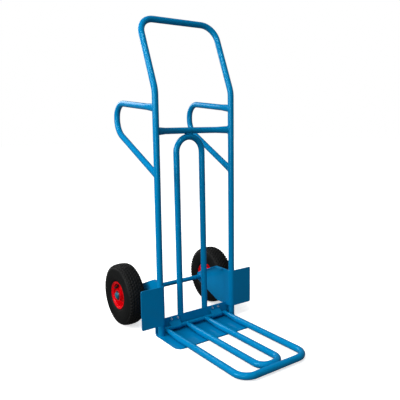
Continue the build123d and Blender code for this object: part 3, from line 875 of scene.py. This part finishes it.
@dataclass
class FrameWelds(WeldGroup):
    """Weld beads that hold the tubes, the sheet and the axle together.

    A handle end is its height on the rail, then its direction as splay, run to the back and rise.
    """

    NAME = "frame_weld_beads"

    handle_ends: tuple[tuple[float, ...], ...] = (
        (0.900, 0.0055, 0.310, 0.031),
        (0.6455, 0.0055, 0.315, 0.1695),
    )
    squashed: tuple[float, float] = (0.0083, 0.0160)
    loop_weld_y: float = 0.0277
    sheet: float = 0.003
    plate_top: float = 0.004
    stitch: float = 0.024
    stitch_count: int = 3
    stitch_margin: float = 0.012
    stitch_along: float = 0.0062
    sunk: float = 0.0016
    proud: float = 0.0004
    axle_gap: float = 0.0005
    top_gap: float = 0.0006
    gap: float = 0.0064
    foot_span: tuple[float, float] = (0.020, 0.0615)
    top_half_length: float = 0.017

    def at_rails(self, side: Side) -> list[Array]:
        """Rings round the crossbar's and the side handle's ends on one rail."""
        s = self.sizes
        rail = side.value * s.rail_x * X_AXIS
        lines = []
        for height, splay, run, rise in self.handle_ends:
            along = np.array([side.value * splay, run, rise])
            along /= np.linalg.norm(along)
            start = rail + height * Z_AXIS
            lines.append(coped(start, along, X_AXIS, self.squashed, Z_AXIS, s.tube))
        swing = 2 * math.atan2(s.loop_top_y, s.rail_x)
        inward = np.array([-side.value * math.cos(swing), math.sin(swing), 0.0])
        start = rail + s.crossbar_z * Z_AXIS
        across = np.cross(Z_AXIS, inward)
        lines.append(coped(start, inward, across, self.squashed, Z_AXIS, s.tube))
        return lines

    def at_sheet(self, side: Side) -> list[Array]:
        """Stitches between one rail and its bracket, and a quarter ring on the bracket's top."""
        s, sign = self.sizes, side.value
        lines = []
        wing = (sign * (s.rail_x + self.stitch_along), self.sunk - s.tube)
        plate = (sign * (s.rail_x - s.tube + self.sunk), self.stitch_along)
        first = s.bracket_low + self.stitch_margin
        last = s.bracket_high - self.stitch_margin - self.stitch
        for low in np.linspace(first, last, self.stitch_count):
            lines += [straight((*spot, low), (*spot, low + self.stitch)) for spot in (wing, plate)]
        top = sign * s.rail_x * X_AXIS + s.bracket_high * Z_AXIS
        quarter_start = 180.0 if side is Side.RIGHT else 270.0
        lines.append(round_about(top, Z_AXIS, s.tube + self.top_gap, quarter_start, 90.0))
        return lines

    def beads(self) -> list[WeldBead]:
        """All the frame's beads."""
        s = self.sizes
        beads = []
        for side in Side:
            rings, stitches = self.at_rails(side), self.at_sheet(side)
            beads += [WeldBead(line, 0.0021, closed=True, seed=11 + k) for k, line in enumerate(rings)]
            beads += [WeldBead(line, 0.0016, seed=31 + k) for k, line in enumerate(stitches)]
            foot = side.value * s.rail_x * X_AXIS + (self.plate_top + self.proud) * Z_AXIS
            beads.append(WeldBead(round_about(foot, Z_AXIS, s.tube + self.proud), 0.0022, closed=True))
            low, high = self.foot_span
            for offset in (-self.gap, self.gap):
                spot = (side.value * s.loop_x + offset, self.loop_weld_y)
                beads.append(WeldBead(straight((*spot, low), (*spot, high)), 0.0019, seed=5))
            ring = s.axle_centre + side.value * (s.rail_x - s.tube - self.sheet) * X_AXIS
            line = round_about(ring, X_AXIS, s.axle_radius + self.axle_gap)
            beads.append(WeldBead(line, 0.0018, closed=True, seed=7))
        reach = self.top_half_length
        for offset in (-self.gap, self.gap):
            spot = (s.loop_top_y + offset, s.loop_top + s.tube - self.proud)
            beads.append(WeldBead(straight((-reach, *spot), (reach, *spot)), 0.0024, seed=9))
        return beads


@dataclass
class BladeWelds(WeldGroup):
    """Weld beads of the folding blade: its legs on the rod and its two loops together."""

    NAME = "blade_weld_beads"
    BODY = Body.BLADE

    tip_radius: float = 0.0072
    gap: float = 0.0062
    front_half_length: float = 0.019

    def beads(self) -> list[WeldBead]:
        """All the blade's beads."""
        s = self.sizes
        tip = (self.tip_radius, self.tip_radius)
        beads = []
        for leg_x in (-s.outer_leg_x, -s.inner_leg_x, s.inner_leg_x, s.outer_leg_x):
            start = s.rod_centre + leg_x * X_AXIS
            line = coped(start, -Y_AXIS, X_AXIS, tip, X_AXIS, s.rod_radius)
            beads.append(WeldBead(line, 0.0016, closed=True, seed=3))
        reach = self.front_half_length
        for offset in (-self.gap, self.gap):
            spot = (s.blade_front + s.tube, s.blade_z + offset)
            beads.append(WeldBead(straight((-reach, *spot), (reach, *spot)), 0.0020, seed=4))
        return beads


# ---- Screws, nuts and caps ----


def hexagon(angles: Array, across_flats: float) -> Array:
    """Radius of a hexagon: half its width over the cosine of the angle to a flat's middle."""
    sector = math.pi / 3
    from_flat = (angles + sector / 2) % sector - sector / 2
    return across_flats / 2 / np.cos(from_flat)


@dataclass
class StrapFasteners:
    """Hexagon screws and nuts that hold the hinge straps to the flange.

    Shares are of half the width across flats; the tip's is of the shank's radius.
    """

    screw_x: tuple[float, ...] = (-0.1185, -0.0885, 0.0885, 0.1185)
    across_flats: float = 0.00796
    shank_radius: float = 0.0025
    head_height: float = 0.0035
    nut_height: float = 0.004
    chamfer_slope: float = math.tan(math.radians(30))
    corner_share: float = 0.97
    dish_depth: float = 0.0003
    dish_shares: tuple[float, float] = (0.62, 0.56)
    thread_pitch: float = 0.0008
    thread_length: float = 0.009
    thread_depth: float = 0.0003
    thread_fade: float = 0.0005
    tip_length: float = 0.0006
    tip_share: float = 0.86
    bore: float = 0.00255
    bore_mouth: float = 0.0029
    mouth_depth: float = 0.0004
    crease: float = 25.0
    hex_steps: int = 72
    shank_steps: tuple[int, int] = (120, 24)

    def hex_rows(
        self, angles: Array, height: float, flip: bool, rings: list[tuple[float, float]]
    ) -> Array:
        """Rows of a hexagon's side, of the cone that takes its corners off and of round rings.

        Args:
            angles: Angle of each column.
            height: Height of the head or nut.
            flip: Whether the lower end is chamfered too.
            rings: Height and radius of the rings that follow.

        Returns:
            Heights, then radii, each as rows by columns.
        """
        corner = hexagon(angles, self.across_flats)
        circle = self.across_flats / 2 * self.corner_share
        drop = (corner - circle) * self.chamfer_slope
        flat = np.zeros_like(angles)
        low_rows = [(flat, flat + circle), (drop, corner)] if flip else [(flat, corner)]
        rows = low_rows + [(height - drop, corner), (flat + height, flat + circle)]
        rows += [(flat + h, flat + r) for h, r in rings]
        return np.array(rows).swapaxes(0, 1)

    def head(self, place: Array, facing: Array) -> Surface:
        """A chamfered head with a slightly dished top."""
        angles = full_turn(self.hex_steps)
        floor = self.head_height - self.dish_depth
        lip, dish = (share * self.across_flats / 2 for share in self.dish_shares)
        rings = [(self.head_height, lip), (floor, dish), (floor, 0.0)]
        rows = self.hex_rows(angles, self.head_height, False, rings)
        return turned(place, facing, *rows, angles)

    def shank(self, place: Array, facing: Array, length: float) -> Surface:
        """A shank whose far end is threaded: its radius falls with the distance from the helix."""
        rows, columns = self.shank_steps
        angles = full_turn(columns)
        way = np.linspace(0.0, length, rows)[:, None]
        turn = way / self.thread_pitch + angles[None, :] / (2 * math.pi)
        groove = np.abs(turn - np.round(turn)) * 2
        start = length - self.thread_length
        threaded = np.clip((way - start) / self.thread_fade, 0.0, 1.0)
        full = np.clip((length - way) / self.tip_length, 0.0, 1.0)
        taper = self.tip_share + (1.0 - self.tip_share) * full
        radius = (self.shank_radius - self.thread_depth * groove * threaded) * taper
        ends = np.zeros((1, len(angles)))
        height = np.concatenate([ends, np.broadcast_to(way, radius.shape), ends + length])
        radius = np.concatenate([ends, radius, ends])
        return turned(place, -facing, height, radius, angles)

    def nut(self, place: Array, facing: Array) -> Surface:
        """A nut chamfered at both ends, its bore widened at both mouths."""
        angles = full_turn(self.hex_steps)
        tall, mouth, bore = self.nut_height, self.bore_mouth, self.bore
        deep = self.mouth_depth
        rings = [(tall, mouth), (tall - deep, bore), (deep, bore), (0.0, mouth)]
        rows = self.hex_rows(angles, tall, True, rings)
        return turned(place, facing, *rows, angles, wrap_profile=True)

    def build(self, palette: Palette) -> None:
        """Makes the screws and the nuts as two pieces, dressed from the palette."""
        low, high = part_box("strap_screws")
        z = (low.z + high.z) / 2
        seat_y = low.y + self.head_height
        length = high.y - seat_y
        nut_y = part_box("strap_nuts")[0].y
        screws, nuts = [], []
        for x in self.screw_x:
            place = np.array([x, seat_y, z])
            screws += [self.head(place, -Y_AXIS), self.shank(place, -Y_AXIS, length)]
            nuts.append(self.nut(np.array([x, nut_y, z]), Y_AXIS))
        screw_piece = piece_from("strap_hexagon_screws", joined(screws))
        nut_piece = piece_from("strap_hexagon_nuts", joined(nuts))
        for piece, node in ((screw_piece, "strap_screws"), (nut_piece, "strap_nuts")):
            creased(piece, self.crease)
            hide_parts(node)
            fitted(piece, Body.FRAME, Slot.ZINC, palette)


@dataclass
class Cap:
    """A turned cap that takes the place of a plain node, its axis along the axle."""

    side: Side

    NODE = ""
    PIECE = ""

    def size(self) -> tuple[float, float]:
        """Length and radius of the plain node."""
        low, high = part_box(f"{self.side.word}_{self.NODE}")
        return high.x - low.x, (high.y - low.y) / 2

    def made(self, height: Array, radius: Array, angles: Array) -> Thing:
        """Turns a profile that starts at the node's inner end.

        Args:
            height: Heights of the profile.
            radius: Its radii.
            angles: Angle of each column.

        Returns:
            The cap, in the plain node's place.
        """
        node = f"{self.side.word}_{self.NODE}"
        low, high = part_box(node)
        inner_x = low.x if self.side is Side.RIGHT else high.x
        origin = np.array([inner_x, (low.y + high.y) / 2, (low.z + high.z) / 2])
        surface = turned(origin, self.side.value * X_AXIS, height, radius, angles)
        cap = piece_from(f"{self.side.word}_{self.PIECE}", surface)
        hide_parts(node)
        return cap


@dataclass
class AxleCap(Cap):
    """Domed cap pushed over the axle's end, with a rolled rim and a raised ring.

    A share is of the cap's length along the axle and of its radius across it.
    """

    base: float = 0.0001
    bore: float = 0.0102
    rim_roll: float = 0.0011
    rim_share: float = 0.17
    step_share: tuple[float, float] = (0.36, 0.89)
    dome_share: tuple[float, float] = (0.52, 0.86)
    dimple_depth: float = 0.0003
    dimple_radius: float = 0.002
    rim_steps: int = 9
    dome_steps: int = 18
    turn_steps: int = 64

    NODE = "axle_cap"
    PIECE = "push_on_cap"

    def build(self, palette: Palette) -> None:
        """Turns the cap's profile: rim, step, shallow dome and a small dimple in the middle.

        The rim is half a circle, the dome a quarter of an ellipse, and the dimple takes off
        dimple_depth * exp(-(radius / dimple_radius)^2).

        Args:
            palette: The truck's finishes.
        """
        tall, outer = self.size()
        dome = np.linspace(0.0, QUARTER, self.dome_steps)
        dome_base, dome_width = self.dome_share
        dome_radius = outer * dome_width * np.cos(dome)
        dimple = self.dimple_depth * np.exp(-((dome_radius / self.dimple_radius) ** 2))
        dome_height = tall * (dome_base + (1.0 - dome_base) * np.sin(dome)) - dimple
        rim = np.linspace(0.0, 2 * QUARTER, self.rim_steps)
        rim_radius = outer - self.rim_roll + self.rim_roll * np.sin(rim)
        rim_height = tall * self.rim_share * (1 - np.cos(rim)) + self.base
        step_height, step_radius = self.step_share
        height = np.concatenate([[self.base], rim_height, [tall * step_height], dome_height])
        radius = np.concatenate([[self.bore], rim_radius, [outer * step_radius], dome_radius])
        cap = self.made(height, radius, full_turn(self.turn_steps))
        fitted(cap, Body.FRAME, Slot.CAP, palette)


@dataclass
class ValveCap(Cap):
    """Screw cap of the tyre valve, ribbed for the fingers.

    A row of the profile is its share of the length, its share of the radius, and its ribbing.
    """

    ribs: int = 14
    steps_per_rib: int = 8
    rib_depth: float = 0.07

    NODE = "valve_cap"
    PIECE = "ribbed_valve_cap"
    PROFILE = (
        (0.0, 0.76, 0), (0.0, 0.9, 0), (0.04, 1.0, 0), (0.12, 1.0, 0), (0.2, 1.0, 1), (0.75, 1.0, 1),
        (0.82, 1.0, 0), (0.9, 0.97, 0), (0.97, 0.86, 0), (1.0, 0.7, 0), (1.0, 0.0, 0),
    )

    def build(self, palette: Palette) -> None:
        """Turns a ribbed profile: the radius falls between the ribs, except near both ends.

        Args:
            palette: The truck's finishes.
        """
        length, outer = self.size()
        angles = full_turn(self.ribs * self.steps_per_rib)
        way, share, ribbed = np.array(self.PROFILE).T[:, :, None]
        dip = self.rib_depth * ribbed * (0.5 - 0.5 * np.cos(self.ribs * angles))
        radius = outer * share * (1.0 - dip)
        cap = self.made(way * length, radius, angles)
        fitted(cap, self.side.wheel, Slot.TUBE, palette)


# ---- Studio ----


@dataclass
class Studio:
    """Pale floor, soft lights and the camera."""

    camera_place: Triple = (-1.116, -1.6075, 0.83675)
    yaw: float = -35.2
    pitch: float = 8.76
    roll: float = -0.78
    lens: float = 44.17
    sensor: float = 36.0
    room_light: float = 0.13
    sky_from: Triple = (-0.35, 0.0, 0.94)
    sky_spread: float = 60.0
    sky_power: float = 1.35
    floor_half: float = 20.0
    floor_z: float = -0.0006
    floor_glow: float = 0.62
    floor_greys: tuple[float, float] = (0.88, 0.90)
    lamps: tuple[tuple, ...] = (
        ("left_softbox", (-3.0, 0.1, 1.7), (0.0, 0.0, 0.6), 1.6, 70.0),
        ("front_fill", (-2.9, -2.1, 1.0), (0.0, 0.0, 0.5), 1.4, 30.0),
        ("high_front_softbox", (-0.83, -1.48, 2.95), (0.0, 0.0, 0.8), 0.45, 11.0),
        ("left_spark", (-1.9, -0.7, 2.6), (0.0, -0.1, 0.5), 0.3, 9.0),
        ("rear_softbox", (-0.6, 3.0, 2.0), (0.0, 0.0, 0.6), 1.8, 40.0),
    )

    def floor(self) -> None:
        """Lays a wide pale floor with a faint mottle."""
        half, z = self.floor_half, self.floor_z
        corners = np.array([(-half, -half, z), (half, -half, z), (half, half, z), (-half, half, z)])
        floor = piece_from("studio_floor", Surface(corners, np.array([[0, 1, 2, 3]])))
        bench = ShaderBench("pale_floor")
        mottle = bench.spread(bench.noise(scale=2.0, detail=3.0), low=0.3, high=0.7, to=(0.0, 1.0))
        dark, light = (rgba((grey, grey, grey)) for grey in self.floor_greys)
        shade = bench.blend(mottle, dark, light)
        bench.coat(Base_Color=shade)
        bench.coat(Roughness=0.7, Specular_IOR_Level=0.1, Emission_Strength=self.floor_glow)
        bench.coat(Emission_Color=WHITE)
        floor.data.materials.append(bench.material)
        floor.visible_diffuse = False
        floor.visible_glossy = False

    def lights(self) -> None:
        """Hangs the softboxes (name, place, target, size, watts) and gives the room its white."""
        for name, place, target, size, power in self.lamps:
            lamp = bpy.data.lights.new(name, "AREA")
            lamp.shape = "SQUARE"
            lamp.size = size
            lamp.energy = power
            turn = (Vector(target) - Vector(place)).to_track_quat("-Z", "Y").to_matrix()
            placed(name, lamp).matrix_world = Matrix.Translation(place) @ turn.to_4x4()
        sky = bpy.data.lights.new("overhead_light", "SUN")
        sky.angle = math.radians(self.sky_spread)
        sky.energy = self.sky_power
        holder = placed("overhead_light", sky)
        holder.visible_glossy = False
        holder.matrix_world = Vector(self.sky_from).to_track_quat("Z", "Y").to_matrix().to_4x4()
        world = bpy.data.worlds.new("white_room")
        bpy.context.scene.world = world
        world.use_nodes = True
        tree = world.node_tree
        shown, lit = tree.nodes["Background"], tree.nodes.new("ShaderNodeBackground")
        for room, strength in ((shown, 1.0), (lit, self.room_light)):
            room.inputs["Color"].default_value = WHITE
            room.inputs["Strength"].default_value = strength
        rays = tree.nodes.new("ShaderNodeLightPath")
        mix = tree.nodes.new("ShaderNodeMixShader")
        tree.links.new(rays.outputs["Is Camera Ray"], mix.inputs[0])
        tree.links.new(lit.outputs[0], mix.inputs[1])
        tree.links.new(shown.outputs[0], mix.inputs[2])
        tree.links.new(mix.outputs[0], tree.nodes["World Output"].inputs["Surface"])
        bpy.context.scene.view_settings.view_transform = "Standard"

    def camera(self) -> None:
        """Stands the camera up: back points from the truck to it, then it rolls about back."""
        yaw, pitch, roll = (math.radians(a) for a in (self.yaw, self.pitch, self.roll))
        level_back = Vector((math.sin(yaw), -math.cos(yaw), 0.0))
        back = math.cos(pitch) * level_back + math.sin(pitch) * Vector(Z_AXIS)
        level = (-back).cross(Vector(Z_AXIS)).normalized()
        up = level.cross(-back)
        right = math.cos(roll) * level + math.sin(roll) * up
        above = -math.sin(roll) * level + math.cos(roll) * up
        camera = placed("studio_camera", bpy.data.cameras.new("studio_camera"))
        camera.data.lens = self.lens
        camera.data.sensor_width = self.sensor
        turn = Matrix((right, above, back)).transposed().to_4x4()
        camera.matrix_world = Matrix.Translation(self.camera_place) @ turn
        bpy.context.scene.camera = camera

    def build(self) -> None:
        """Sets the whole studio up."""
        self.floor()
        self.lights()
        self.camera()


def main() -> None:
    """Builds every group of pieces round the frame."""
    logging.basicConfig(level=logging.INFO, format="%(name)s: %(message)s")
    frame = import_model()
    palette = Palette()
    palette.dress_frame(frame)
    sizes = TruckSizes()
    Studio().build()
    centres = {joint["child"]: np.array(joint["pos_m"]) for joint in frame["joints"]}
    for side in Side:
        TreadTyre(side, centres[side.wheel.value]).build(palette)
        AxleCap(side).build(palette)
        ValveCap(side).build(palette)
    FrameWelds(sizes).build(palette)
    BladeWelds(sizes).build(palette)
    StrapFasteners().build(palette)


if __name__ == "__main__":
    main()
